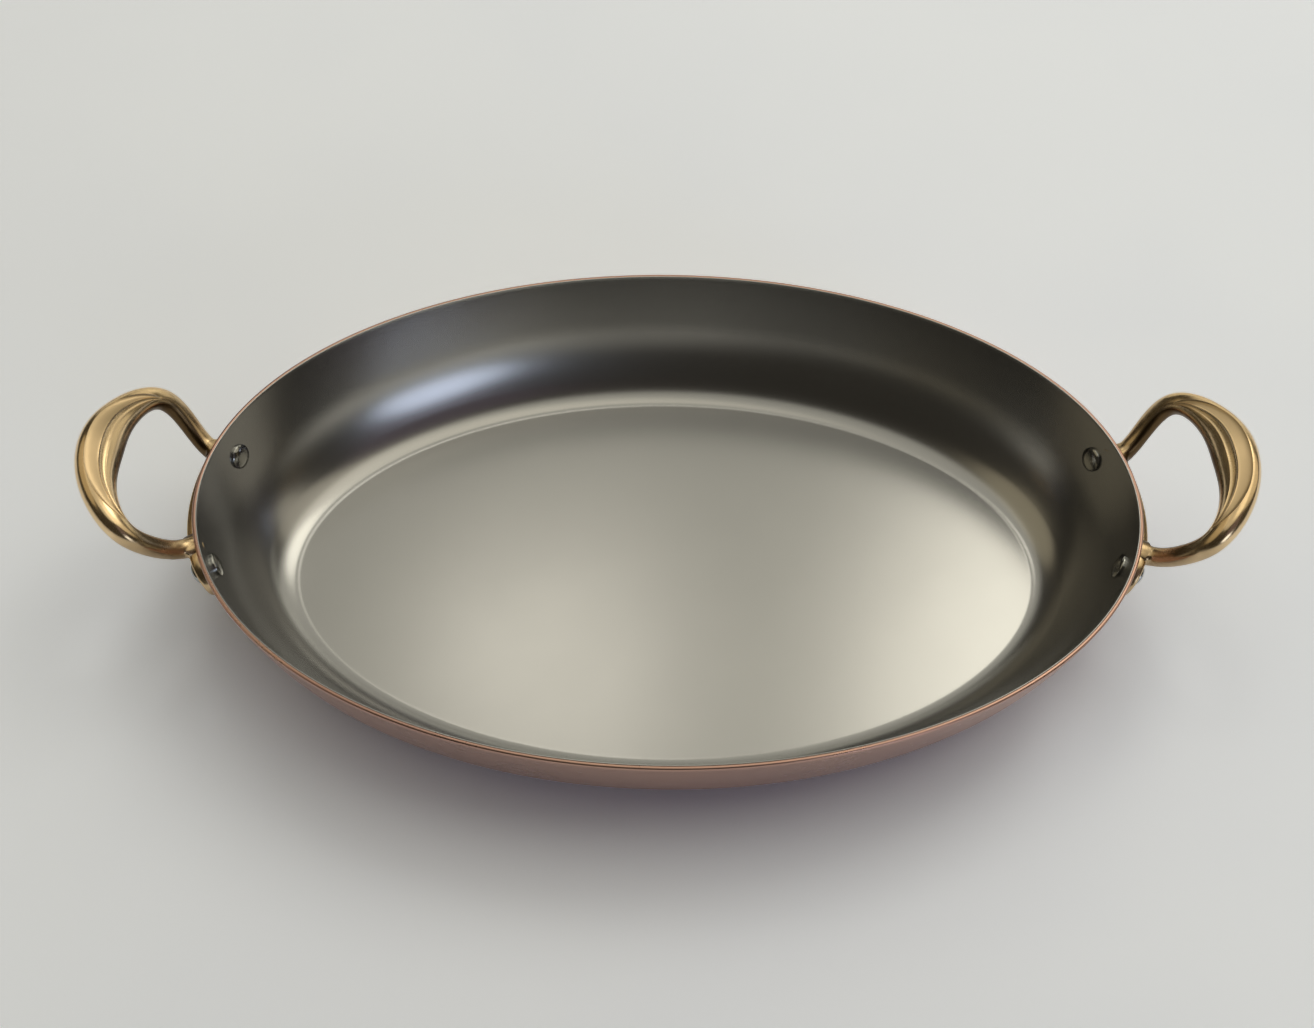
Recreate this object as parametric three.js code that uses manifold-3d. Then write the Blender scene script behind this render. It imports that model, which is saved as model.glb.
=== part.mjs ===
// Oval gratin pan: a copper body with a bonded stainless lining, and two cast bronze loop
// handles, each held by two stainless rivets.
// Millimetres. X runs along the pan, Y across it, Z up. The origin is the middle of the base.

import * as THREE from 'three';
import { mergeVertices } from 'three/addons/utils/BufferGeometryUtils.js';
import Module from 'manifold-3d';

const wasm = await Module();
wasm.setup();

// Pan
const RIM_LENGTH = 350;
const RIM_WIDTH = 230;
const PAN_HEIGHT = 52;
const COPPER_THICKNESS = 1.5;
const LINING_THICKNESS = 0.3;
const RIM_CHAMFER = 0.4;

// Section of the wall: four arcs from the rim down to the floor. It starts FLARE out of upright,
// and each END is the turn from upright at which an arc ends. The blend arc ends where it must.
const RIM_FLARE = THREE.MathUtils.degToRad(9.5);
const WALL_RADIUS = 200;
const WALL_END = THREE.MathUtils.degToRad(16);
const BLEND_RADIUS = 60;
const BASE_RADIUS = 24;
const BASE_END = THREE.MathUtils.degToRad(70);
const EDGE_RADIUS = 9.5;

// Mounting plate of a handle. DROP is taken from the top of the rim down to its middle.
const PLATE_THICKNESS = 4;
const PLATE_DROP = 13.5;
const PLATE_HALF_HEIGHT = 8.5;
const PLATE_HALF_SPAN = 35;
const SEAT_GAP = 0.3;

// Cutting bodies run this far past what they cut
const CUTTER_REACH = 10;

// Loop of a handle. REACH and RISE go from the end of the rim to the middle of the grip's section.
const LOOP_REACH = 28.1;
const LOOP_RISE = 21.5;
const LOOP_HALF_SPAN = 31.9;
const GRIP_WIDTH = 14.8;
const GRIP_THICKNESS = 10.2;

// Half of the loop, from the mounting plate to the grip. Each station gives its place out from
// the rim, sideways and up, and the width and thickness there, as fractions of the sizes above.
const LOOP_STATIONS = [
  { out: -0.16, side: 0.665, up: -0.381, width: 0.541, thickness: 0.784 },
  { out: 0, side: 0.743, up: -0.335, width: 0.486, thickness: 0.706 },
  { out: 0.317, side: 0.956, up: 0.149, width: 0.5, thickness: 0.647 },
  { out: 0.534, side: 1, up: 0.563, width: 0.527, thickness: 0.755 },
  { out: 0.911, side: 0.539, up: 0.907, width: 0.824, thickness: 0.922 },
  { out: 1, side: 0, up: 1, width: 1, thickness: 1 },
];
// The loop stands a little to one side of its plate and leans a little
const LOOP_SHIFT = -0.8;
const LOOP_LEAN = 0.025;
const SECTION_TILT = THREE.MathUtils.degToRad(43);
const SECTION_SQUARENESS = 0.88;

// Two channels along the top of the grip. Their place and half width are fractions of the
// grip's half width, their depth is one of the grip's thickness.
const CHANNELS = [
  { place: 0.28, halfWidth: 0.36, depth: 0.108 },
  { place: -0.42, halfWidth: 0.24, depth: 0.049 },
];
const CHANNEL_HALF_SPAN = 26;

// Rivets. ANGLE is the oval's own angle at each one, DROP goes down from the top of the rim.
const RIVET_ANGLE = THREE.MathUtils.degToRad(13.7);
const RIVET_DROP = 13.2;
const SHANK_RADIUS = 2.3;
const SHANK_CLEARANCE = 0.3;
const INNER_HEAD = { radius: 4.8, edge: 0.5, height: 1.5 };
const OUTER_HEAD = { radius: 4.1, edge: 0.7, height: 2.5 };
const INNER_HEAD_GAP = 0.5;

// Fineness
const OVAL_SEGMENTS = 80;
const WALL_SEGMENTS = 2;
const BLEND_SEGMENTS = 3;
const BASE_SEGMENTS = 3;
const EDGE_SEGMENTS = 1;
const LOOP_SEGMENTS = 50;
const SECTION_SEGMENTS = 20;
const RIVET_SEGMENTS = 18;

const HALF_LENGTH = RIM_LENGTH / 2;
const HALF_WIDTH = RIM_WIDTH / 2;
const SHEET_THICKNESS = COPPER_THICKNESS + LINING_THICKNESS;
const PLATE_CENTRE_HEIGHT = PAN_HEIGHT - PLATE_DROP;
const RIVET_HEIGHT = PAN_HEIGHT - RIVET_DROP;

// The height that the other arcs leave to the blend arc, and the turn at which it then ends
const BLEND_DROP = PAN_HEIGHT
  - WALL_RADIUS * (Math.sin(WALL_END) - Math.sin(RIM_FLARE))
  - BASE_RADIUS * Math.sin(BASE_END)
  - EDGE_RADIUS * (1 - Math.sin(BASE_END));
const BLEND_REACH = BLEND_RADIUS - BASE_RADIUS;
const BLEND_END = Math.asin((BLEND_DROP + BLEND_RADIUS * Math.sin(WALL_END)) / BLEND_REACH);

// RUN is measured outward from the outer edge of the rim, so it is negative inside it
const WALL_CENTRE_RUN = -WALL_RADIUS * Math.cos(RIM_FLARE);
const WALL_CENTRE_HEIGHT = PAN_HEIGHT + WALL_RADIUS * Math.sin(RIM_FLARE);
const ARCS = sectionArcs();
const WALL_ARC = ARCS[ARCS.length - 1];
const FLOOR_RUN = ARCS[0].run;

const copper = new THREE.MeshStandardMaterial({ color: 0xc98a6c, roughness: 0.35, metalness: 1 });
const lining = new THREE.MeshStandardMaterial({ color: 0xb9b8b0, roughness: 0.38, metalness: 1 });
const bronze = new THREE.MeshStandardMaterial({ color: 0xc7a562, roughness: 0.2, metalness: 1 });
const rivetSteel = new THREE.MeshStandardMaterial({ color: 0x9c9c98, roughness: 0.25, metalness: 1 });

/** Makes a solid from a closed geometry. */
function toSolid(geometry) {
  const bare = new THREE.BufferGeometry();
  bare.setAttribute('position', geometry.getAttribute('position'));
  bare.setIndex(geometry.getIndex());
  const merged = mergeVertices(bare, 1e-3);
  const index = merged.getIndex();
  const corners = [];
  for (let i = 0; i < index.count; i += 3) {
    const [a, b, c] = [index.getX(i), index.getX(i + 1), index.getX(i + 2)];
    if (a !== b && b !== c && c !== a) {
      corners.push(a, b, c);
    }
  }
  return new wasm.Manifold(new wasm.Mesh({
    numProp: 3,
    vertProperties: new Float32Array(merged.getAttribute('position').array),
    triVerts: new Uint32Array(corners),
  }));
}

/** Makes a geometry from a solid. */
function toGeometry(solid) {
  const mesh = solid.getMesh();
  const geometry = new THREE.BufferGeometry();
  geometry.setAttribute('position', new THREE.BufferAttribute(mesh.vertProperties, 3));
  geometry.setIndex(new THREE.BufferAttribute(mesh.triVerts, 1));
  geometry.computeVertexNormals();
  return geometry;
}

/** Names a mesh made of one solid. */
function piece(name, solid, material) {
  const mesh = new THREE.Mesh(toGeometry(solid), material);
  mesh.name = name;
  return mesh;
}

/** The oval of the rim at its own angle, moved outward by a run. */
function ovalPoint(angle, run) {
  const cos = Math.cos(angle);
  const sin = Math.sin(angle);
  const outward = new THREE.Vector2(cos / HALF_LENGTH, sin / HALF_WIDTH).normalize();
  return new THREE.Vector2(HALF_LENGTH * cos, HALF_WIDTH * sin).addScaledVector(outward, run);
}

/** The wall's turn from level at a height, on the surface that lies inset inside the outer one. */
function wallTurn(height, inset) {
  return Math.asin((WALL_CENTRE_HEIGHT - height) / (WALL_RADIUS - inset));
}

/** The run of the wall at a turn, on the surface that lies inset inside the outer one. */
function wallRun(turn, inset) {
  return WALL_CENTRE_RUN + (WALL_RADIUS - inset) * Math.cos(turn);
}

/** The arcs of the section from the floor up, with their centres and their turns at both ends. */
function sectionArcs() {
  const sizes = [
    { radius: WALL_RADIUS, end: WALL_END, segments: WALL_SEGMENTS },
    { radius: BLEND_RADIUS, end: BLEND_END, segments: BLEND_SEGMENTS },
    { radius: BASE_RADIUS, end: BASE_END, segments: BASE_SEGMENTS },
    { radius: EDGE_RADIUS, end: Math.PI / 2, segments: EDGE_SEGMENTS },
  ];
  const arcs = [];
  let run = WALL_CENTRE_RUN;
  let height = WALL_CENTRE_HEIGHT;
  let last = { radius: WALL_RADIUS, end: RIM_FLARE };
  for (const size of sizes) {
    run += (last.radius - size.radius) * Math.cos(last.end);
    height -= (last.radius - size.radius) * Math.sin(last.end);
    const { radius, segments } = size;
    arcs.unshift({ run, height, radius, segments, low: size.end, high: last.end });
    last = size;
  }
  return arcs;
}

/** Section points of the surface that lies inset inside the outer one, floor edge to top. */
function sectionPoints(inset, top) {
  const points = [new THREE.Vector2(FLOOR_RUN, inset)];
  for (const arc of ARCS) {
    const radius = arc.radius - inset;
    const high = arc === WALL_ARC ? wallTurn(top, inset) : arc.high;
    for (let i = 1; i <= arc.segments; i += 1) {
      const turn = THREE.MathUtils.lerp(arc.low, high, i / arc.segments);
      const height = arc.height - radius * Math.sin(turn);
      points.push(new THREE.Vector2(arc.run + radius * Math.cos(turn), height));
    }
  }
  return points;
}

/** A solid oval with the given section, closed across its top. */
function ovalSolid(section) {
  const profile = section.map((point) => new THREE.Vector2(HALF_WIDTH + point.x, point.y));
  profile.unshift(new THREE.Vector2(0, profile[0].y));
  profile.push(new THREE.Vector2(0, profile[profile.length - 1].y));
  const geometry = new THREE.LatheGeometry(profile, OVAL_SEGMENTS);
  geometry.rotateX(Math.PI / 2);
  const floorRadius = HALF_WIDTH + FLOOR_RUN;
  const position = geometry.getAttribute('position');
  for (let i = 0; i < position.count; i += 1) {
    const radius = Math.hypot(position.getX(i), position.getY(i));
    const angle = Math.atan2(position.getY(i), position.getX(i));
    const onFloor = radius < floorRadius;
    const point = ovalPoint(angle, onFloor ? FLOOR_RUN : radius - HALF_WIDTH);
    point.multiplyScalar(onFloor ? radius / floorRadius : 1);
    position.setXY(i, point.x, point.y);
  }
  return toSolid(geometry);
}

/** The section up to the rim, then straight up past it, for cutting the inside away. */
function cutterSection(inset) {
  const section = sectionPoints(inset, PAN_HEIGHT);
  const rim = section[section.length - 1];
  section.push(new THREE.Vector2(rim.x, PAN_HEIGHT + CUTTER_REACH));
  return section;
}

/** The outer section of the copper, with the sharp outer edge of the rim taken off. */
function copperSection() {
  const section = sectionPoints(0, PAN_HEIGHT - RIM_CHAMFER);
  section.push(new THREE.Vector2(-RIM_CHAMFER, PAN_HEIGHT));
  return section;
}

/** The frame of a rivet: its middle on the lining and its axis, which points outward. */
function rivetFrame(side) {
  const turn = wallTurn(RIVET_HEIGHT, SHEET_THICKNESS);
  const angle = side * RIVET_ANGLE;
  const middle = ovalPoint(angle, wallRun(turn, SHEET_THICKNESS));
  const outward = ovalPoint(angle, 1).sub(ovalPoint(angle, 0));
  const axis = new THREE.Vector3(outward.x, outward.y, -Math.tan(turn)).normalize();
  const frame = new THREE.Object3D();
  frame.quaternion.setFromUnitVectors(new THREE.Vector3(0, 1, 0), axis);
  frame.position.set(middle.x, middle.y, RIVET_HEIGHT);
  frame.updateMatrix();
  return frame.matrix;
}

/** Profile points of a domed head, from its edge to its top, rising from base by sign. */
function headProfile(head, base, sign) {
  const points = [new THREE.Vector2(head.radius, base)];
  for (let i = 0; i <= 4; i += 1) {
    const turn = (i / 4) * (Math.PI / 2);
    const rise = head.edge + (head.height - head.edge) * Math.sin(turn);
    const radius = i === 4 ? 0 : head.radius * Math.cos(turn) ** 0.8;
    points.push(new THREE.Vector2(radius, base + sign * rise));
  }
  return points;
}

/** A rivet along +Y, with Y = 0 on the lining under its inner head. */
function rivetGeometry() {
  const outerSeat = SHEET_THICKNESS + SEAT_GAP + PLATE_THICKNESS + SEAT_GAP;
  const inner = headProfile(INNER_HEAD, -INNER_HEAD_GAP, -1).reverse();
  const outer = headProfile(OUTER_HEAD, outerSeat, 1);
  const shank = [
    new THREE.Vector2(SHANK_RADIUS, -INNER_HEAD_GAP),
    new THREE.Vector2(SHANK_RADIUS, outerSeat),
  ];
  return new THREE.LatheGeometry([...inner, ...shank, ...outer], RIVET_SEGMENTS);
}

/** The hole for a rivet's shank, as a solid that runs past both faces. */
function rivetHole(side) {
  const length = 2 * (SHEET_THICKNESS + PLATE_THICKNESS + CUTTER_REACH);
  const radius = SHANK_RADIUS + SHANK_CLEARANCE;
  const hole = new THREE.CylinderGeometry(radius, radius, length, RIVET_SEGMENTS);
  return toSolid(hole.applyMatrix4(rivetFrame(side)));
}

/** Turns a solid made for the right end so that it stands at the left end. */
function turnedRound(solid) {
  return solid.rotate([0, 0, 180]);
}

/** All four rivet holes of the pan as one solid. */
function allHoles() {
  const pair = rivetHole(1).add(rivetHole(-1));
  return pair.add(turnedRound(pair));
}

/** Depth of the loop's channels at a place across the grip and a distance from its tip. */
function channelDepth(place, side) {
  const fade = Math.max(0, 1 - (side / CHANNEL_HALF_SPAN) ** 2);
  let depth = 0;
  for (const channel of CHANNELS) {
    const across = (place - channel.place) / channel.halfWidth;
    depth += channel.depth * GRIP_THICKNESS * fade * Math.max(0, 1 - across * across);
  }
  return depth;
}

/** The loop as one solid, made by bending a cylinder along its path and shaping its section. */
function loopSolid() {
  const tip = LOOP_STATIONS[LOOP_STATIONS.length - 1];
  const front = LOOP_STATIONS.slice(0, -1).map((station) => ({ ...station, side: -station.side }));
  const stations = [...front, tip, ...LOOP_STATIONS.slice(0, -1).reverse()];
  const path = new THREE.CatmullRomCurve3(stations.map((station) => new THREE.Vector3(
    HALF_LENGTH + LOOP_REACH * station.out,
    LOOP_HALF_SPAN * station.side + LOOP_SHIFT,
    PAN_HEIGHT + LOOP_RISE * station.up + LOOP_LEAN * LOOP_HALF_SPAN * station.side,
  )));
  const sizes = new THREE.CatmullRomCurve3(stations.map((station) => new THREE.Vector3(
    GRIP_WIDTH * station.width,
    GRIP_THICKNESS * station.thickness,
    0,
  )));
  const up = new THREE.Vector3(-Math.sin(SECTION_TILT), 0, Math.cos(SECTION_TILT));
  const geometry = new THREE.CylinderGeometry(1, 1, 1, SECTION_SEGMENTS, LOOP_SEGMENTS);
  const position = geometry.getAttribute('position');
  for (let i = 0; i < position.count; i += 1) {
    const along = position.getY(i) + 0.5;
    const middle = path.getPoint(along);
    const tangent = path.getTangent(along);
    const across = new THREE.Vector3().crossVectors(tangent, up).normalize();
    const rise = new THREE.Vector3().crossVectors(across, tangent);
    const size = sizes.getPoint(along);
    const x = Math.sign(position.getX(i)) * Math.abs(position.getX(i)) ** SECTION_SQUARENESS;
    const z = Math.sign(position.getZ(i)) * Math.abs(position.getZ(i)) ** SECTION_SQUARENESS;
    const cut = z > 0 ? channelDepth(x, middle.y) : 0;
    middle.addScaledVector(across, (x * size.x) / 2);
    middle.addScaledVector(rise, (z * size.y) / 2 - cut);
    position.setXYZ(i, middle.x, middle.y, middle.z);
  }
  return toSolid(geometry);
}

/** The block from which the mounting plate is cut, an outline with round ends run along X. */
function plateBlock() {
  const endSide = PLATE_HALF_SPAN - PLATE_HALF_HEIGHT;
  const start = HALF_LENGTH + FLOOR_RUN;
  const depth = CUTTER_REACH - FLOOR_RUN;
  const outline = new THREE.Shape();
  outline.absarc(endSide, PLATE_CENTRE_HEIGHT, PLATE_HALF_HEIGHT, -Math.PI / 2, Math.PI / 2);
  outline.absarc(-endSide, PLATE_CENTRE_HEIGHT, PLATE_HALF_HEIGHT, Math.PI / 2, (3 * Math.PI) / 2);
  const block = new THREE.ExtrudeGeometry(outline, { depth, bevelEnabled: false, curveSegments: 8 });
  const placed = new THREE.Matrix4().makeBasis(
    new THREE.Vector3(0, 1, 0),
    new THREE.Vector3(0, 0, 1),
    new THREE.Vector3(1, 0, 0),
  );
  placed.setPosition(start, 0, 0);
  return toSolid(mergeVertices(block.applyMatrix4(placed)));
}

/** The right handle: mounting plate and loop in one casting, drilled for its two rivets. */
function handleSolid() {
  const plateFace = ovalSolid(cutterSection(-SEAT_GAP - PLATE_THICKNESS));
  const seat = ovalSolid(cutterSection(-SEAT_GAP));
  const plate = plateBlock().intersect(plateFace);
  return plate.add(loopSolid()).subtract(seat).subtract(rivetHole(1)).subtract(rivetHole(-1));
}

/** The copper body, hollowed to the face that the lining is bonded to. */
function copperSolid() {
  const inside = ovalSolid(cutterSection(COPPER_THICKNESS));
  return ovalSolid(copperSection()).subtract(inside).subtract(allHoles());
}

/** The lining, a thin shell on the inside of the copper. */
function liningSolid() {
  const outside = ovalSolid(sectionPoints(COPPER_THICKNESS, PAN_HEIGHT));
  const inside = ovalSolid(cutterSection(SHEET_THICKNESS));
  return outside.subtract(inside).subtract(allHoles());
}

const pan = new THREE.Group();
pan.add(piece('copper_body', copperSolid(), copper));
pan.add(piece('steel_lining', liningSolid(), lining));

const rightHandle = handleSolid();
pan.add(piece('handle_right', rightHandle, bronze));
pan.add(piece('handle_left', turnedRound(rightHandle), bronze));

for (const [place, side] of [['rear', 1], ['front', -1]]) {
  const rivet = toSolid(rivetGeometry().applyMatrix4(rivetFrame(side)));
  pan.add(piece(`rivet_right_${place}`, rivet, rivetSteel));
  const opposite = toSolid(rivetGeometry().applyMatrix4(rivetFrame(-side)));
  pan.add(piece(`rivet_left_${place}`, turnedRound(opposite), rivetSteel));
}

export default pan;
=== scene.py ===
"""Dresses and lights the copper gratin pan: an oval copper body with a bonded steel lining,
and two cast bronze loop handles, each on two steel rivets.

Metres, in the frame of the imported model: X along the pan, Y across it, Z up, and the origin
in the middle of the base.
"""

from __future__ import annotations

import logging
from collections.abc import Callable
from dataclasses import dataclass
from enum import Enum
from math import acos, asin, atan2, copysign, cos, dist, exp, pi, radians, sin, sqrt, tan, tau

import bmesh
import bpy
from mathutils import Matrix, Vector

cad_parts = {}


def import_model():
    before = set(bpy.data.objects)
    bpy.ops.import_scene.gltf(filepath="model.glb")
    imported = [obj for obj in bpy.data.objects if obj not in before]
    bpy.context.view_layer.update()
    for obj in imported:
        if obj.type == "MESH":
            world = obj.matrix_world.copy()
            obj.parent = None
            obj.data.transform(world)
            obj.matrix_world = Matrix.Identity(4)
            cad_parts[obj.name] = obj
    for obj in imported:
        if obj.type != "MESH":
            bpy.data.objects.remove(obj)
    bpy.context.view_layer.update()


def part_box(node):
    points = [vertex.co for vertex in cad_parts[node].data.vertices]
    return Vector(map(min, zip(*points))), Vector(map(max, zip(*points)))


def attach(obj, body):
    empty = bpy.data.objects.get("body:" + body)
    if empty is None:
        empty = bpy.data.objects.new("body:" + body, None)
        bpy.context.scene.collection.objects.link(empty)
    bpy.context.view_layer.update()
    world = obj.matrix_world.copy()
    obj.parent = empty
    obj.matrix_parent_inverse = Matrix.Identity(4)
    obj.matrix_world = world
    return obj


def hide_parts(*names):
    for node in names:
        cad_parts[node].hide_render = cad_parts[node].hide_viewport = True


log = logging.getLogger("gratin_pan")

Piece = bpy.types.Object
Socket = bpy.types.NodeSocket
Feed = Socket | float | tuple[float, ...]  # what an input takes: an output, or a value
Inputs = dict[str | int, Feed]
Colour = tuple[float, float, float, float]
Steps = tuple[int, int, int, int]  # along the edge, base, blend and wall arcs

MM = 0.001
HAIR = 0.001 * MM  # a distance too small to see
SHELL_SIDES = 288
SHELL_SMOOTH = radians(35)
RIM_CHAMFER = 0.4 * MM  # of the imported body: its wall is widest just below it
EDGE_MIDDLE = 0.3  # share of a small rounding at which its middle point lies in from the corner


class Slot(Enum):
    """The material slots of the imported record."""

    COPPER = "copper"
    LINING = "lining"
    BRONZE = "bronze"
    RIVET_STEEL = "rivet_steel"


class End(Enum):
    """The two ends of the pan."""

    RIGHT = "right"
    LEFT = "left"


class Part(Enum):
    """The parts of a mesh that are selected, by Blender's two names for them."""

    VERT = "verts"
    EDGE = "edges"


# Bench work


def clamp(value: float, low: float = 0.0, high: float = 1.0) -> float:
    """Keeps a value between two limits."""
    return max(low, min(high, value))


def signed_power(value: float, power: float) -> float:
    """Raises the size of a value to a power and keeps its sign."""
    return copysign(abs(value) ** power, value)


def open_mesh() -> None:
    """Enters edit mode."""
    bpy.ops.object.mode_set(mode="EDIT")


def close_mesh() -> None:
    """Leaves edit mode."""
    bpy.ops.object.mode_set(mode="OBJECT")


def clear_selection() -> None:
    """Leaves edit mode and deselects everything."""
    if bpy.context.object and bpy.context.object.mode != "OBJECT":
        close_mesh()
    bpy.ops.object.select_all(action="DESELECT")


def take(piece: Piece) -> None:
    """Makes a piece the only one selected."""
    clear_selection()
    piece.select_set(True)
    bpy.context.view_layer.objects.active = piece


def new_piece(name: str) -> Piece:
    """Names the primitive that was just added, and leaves it alone in the selection."""
    piece = bpy.context.object
    piece.name = name
    piece.data.name = name
    take(piece)
    return piece


def select_in_edit(piece: Piece, kind: Part, wanted: Callable) -> None:
    """Selects parts of a mesh that is in edit mode.

    Args:
        piece: The object in edit mode.
        kind: The kind of part.
        wanted: A test that is given each vertex or edge.
    """
    bpy.ops.mesh.select_mode(type=kind.name)
    bpy.ops.mesh.select_all(action="DESELECT")
    mesh = bmesh.from_edit_mesh(piece.data)
    mesh.verts.index_update()
    for part in getattr(mesh, kind.value):
        part.select_set(bool(wanted(part)))
    bmesh.update_edit_mesh(piece.data)


def rise_of(edge: bmesh.types.BMEdge) -> float:
    """The difference in height between the ends of an edge."""
    return edge.verts[0].co.z - edge.verts[1].co.z


def apply_modifier(piece: Piece, kind: str, **settings) -> None:
    """Adds a modifier of one of Blender's types, sets its values and applies it."""
    take(piece)
    modifier = piece.modifiers.new(kind.title(), kind)
    for name, value in settings.items():
        setattr(modifier, name, value)
    bpy.ops.object.modifier_apply(modifier=modifier.name)


def face_outwards(piece: Piece) -> None:
    """Makes all faces of a closed piece point outwards."""
    take(piece)
    open_mesh()
    bpy.ops.mesh.select_all(action="SELECT")
    bpy.ops.mesh.normals_make_consistent(inside=False)
    close_mesh()


def smooth(piece: Piece, angle: float) -> None:
    """Shades a piece smooth except across edges sharper than an angle."""
    take(piece)
    bpy.ops.object.shade_smooth_by_angle(angle=angle)


def copy_piece(piece: Piece, name: str) -> Piece:
    """Copies a piece with a mesh of its own, and leaves the copy alone in the selection."""
    take(piece)
    bpy.ops.object.duplicate(linked=False)
    return new_piece(name)


def place(piece: Piece, matrix: Matrix) -> None:
    """Moves a piece and applies its place to its mesh."""
    piece.matrix_world = matrix
    take(piece)
    bpy.ops.object.transform_apply(location=True, rotation=True, scale=True)


# Shape of the pan


@dataclass(frozen=True)
class Oval:
    """The oval of the rim, and the ovals at an even distance from it."""

    half_length: float
    half_width: float
    tries: int = 5

    def outward(self, angle: float) -> Vector:
        """The direction straight out of the oval at its own angle."""
        across = sin(angle) / self.half_width
        return Vector((cos(angle) / self.half_length, across, 0)).normalized()

    def point(self, angle: float, run: float) -> Vector:
        """The oval at its own angle, moved outward by a run."""
        edge = Vector((self.half_length * cos(angle), self.half_width * sin(angle), 0))
        return edge + self.outward(angle) * run

    def locate(self, x: float, y: float) -> tuple[float, float]:
        """The oval's angle at a place, and the run outward from the oval to it."""
        angle = run = 0.0
        for _ in range(self.tries):
            angle = atan2(y / (self.half_width + run), x / (self.half_length + run))
            run = (Vector((x, y, 0)) - self.point(angle, 0)).dot(self.outward(angle))
        return angle, run


@dataclass(frozen=True)
class Ring:
    """One station of a shell: its run from the rim's oval, its height, and how far it shrinks."""

    run: float
    height: float
    shrink: float = 1.0


@dataclass(frozen=True)
class Arc:
    """One arc of the section, between two turns from level about its centre."""

    run: float
    height: float
    radius: float
    start: float
    end: float

    def station(self, turn: float, inset: float) -> Ring:
        """The station at a turn, at a depth inside the copper's outer face."""
        reach = self.radius - inset
        return Ring(self.run + reach * cos(turn), self.height - reach * sin(turn))


@dataclass(frozen=True)
class PanSection:
    """The section of the wall: four arcs from the rim to the floor that meet without a corner.

    A turn is measured down from level. A run goes outward from the outer edge of the rim, and an
    inset goes inward from the copper's outer face.
    """

    height: float
    flare: float = radians(9.5)
    wall_radius: float = 200 * MM
    wall_end: float = radians(16)
    blend_radius: float = 60 * MM
    base_radius: float = 24 * MM
    base_end: float = radians(70)
    edge_radius: float = 9.5 * MM

    @property
    def blend_end(self) -> float:
        """The turn at which the blend arc has to end for the floor to lie at zero height."""
        rise = self.wall_radius * (sin(self.wall_end) - sin(self.flare))
        rise += self.base_radius * sin(self.base_end) + self.edge_radius * (1 - sin(self.base_end))
        reach = self.height - rise + self.blend_radius * sin(self.wall_end)
        return asin(reach / (self.blend_radius - self.base_radius))

    @property
    def arcs(self) -> list[Arc]:
        """The edge arc, the base arc, the blend arc and the wall arc."""
        radii = (self.wall_radius, self.blend_radius, self.base_radius, self.edge_radius)
        turns = (self.flare, self.wall_end, self.blend_end, self.base_end, pi / 2)
        run = -self.wall_radius * cos(self.flare)
        height = self.height + self.wall_radius * sin(self.flare)
        last = self.wall_radius
        arcs = []
        for radius, upper, lower in zip(radii, turns, turns[1:]):
            run += (last - radius) * cos(upper)
            height -= (last - radius) * sin(upper)
            last = radius
            arcs.append(Arc(run, height, radius, lower, upper))
        return arcs[::-1]

    @property
    def floor_run(self) -> float:
        """Run of the flat floor's edge."""
        return self.arcs[0].run

    def wall_turn(self, height: float, inset: float) -> float:
        """The wall's turn from level at a height."""
        wall = self.arcs[-1]
        return asin((wall.height - height) / (wall.radius - inset))

    def wall_run(self, height: float, inset: float) -> float:
        """Run of the wall at a height."""
        return self.arcs[-1].station(self.wall_turn(height, inset), inset).run

    def rings(self, inset: float, top: float, steps: Steps) -> list[Ring]:
        """Stations of a surface from the floor's edge to a height on the wall.

        Args:
            inset: Depth of the surface inside the copper's outer face.
            top: Height at which the stations end.
            steps: Steps along each arc.

        Returns:
            The stations, from the floor upward.
        """
        arcs = self.arcs
        stations = [arcs[0].station(arcs[0].start, inset)]
        ends = [arc.end for arc in arcs[:-1]] + [self.wall_turn(top, inset)]
        for arc, end, count in zip(arcs, ends, steps):
            for step in range(1, count + 1):
                stations.append(arc.station(arc.start + (end - arc.start) * step / count, inset))
        return stations

    def floor(self, inset: float, shrinks: tuple[float, ...]) -> list[Ring]:
        """Stations on the flat floor, from its middle outward."""
        return [Ring(self.floor_run, inset, shrink) for shrink in shrinks]


def oval_shell(name: str, rings: list[Ring], oval: Oval) -> Piece:
    """Extrudes a ring through all stations of a closed shell.

    They go from the middle of one face to the middle of the other.
    """

    def spans(ring: Ring) -> tuple[float, float]:
        """Half length and half width of a ring."""
        length, width = oval.half_length + ring.run, oval.half_width + ring.run
        return length * ring.shrink, width * ring.shrink

    clear_selection()
    bpy.ops.mesh.primitive_circle_add(vertices=SHELL_SIDES, radius=1.0, fill_type="NOTHING")
    piece = new_piece(name)
    open_mesh()
    bpy.ops.mesh.select_all(action="SELECT")
    bpy.ops.transform.resize(value=(*spans(rings[0]), 1), center_override=(0, 0, 0))
    bpy.ops.transform.translate(value=(0, 0, rings[0].height))
    for before, after in zip(rings, rings[1:]):
        rise = (0, 0, after.height - before.height)
        bpy.ops.mesh.extrude_edges_move(TRANSFORM_OT_translate={"value": rise})
        growth = [b / a for a, b in zip(spans(before), spans(after))]
        bpy.ops.transform.resize(value=(*growth, 1), center_override=(0, 0, 0))
    close_mesh()
    for vertex in piece.data.vertices:
        ring = rings[vertex.index // SHELL_SIDES]
        span = spans(ring)
        angle = atan2(vertex.co.y / span[1], vertex.co.x / span[0])
        vertex.co = oval.point(angle, ring.run) * ring.shrink + Vector((0, 0, ring.height))
    open_mesh()
    last = len(piece.data.vertices) - SHELL_SIDES
    select_in_edit(piece, Part.VERT, lambda vertex: vertex.index >= last)
    bpy.ops.mesh.merge(type="CENTER")
    select_in_edit(piece, Part.VERT, lambda vertex: vertex.index < SHELL_SIDES)
    bpy.ops.mesh.merge(type="CENTER")
    close_mesh()
    face_outwards(piece)
    smooth(piece, SHELL_SMOOTH)
    return piece


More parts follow.
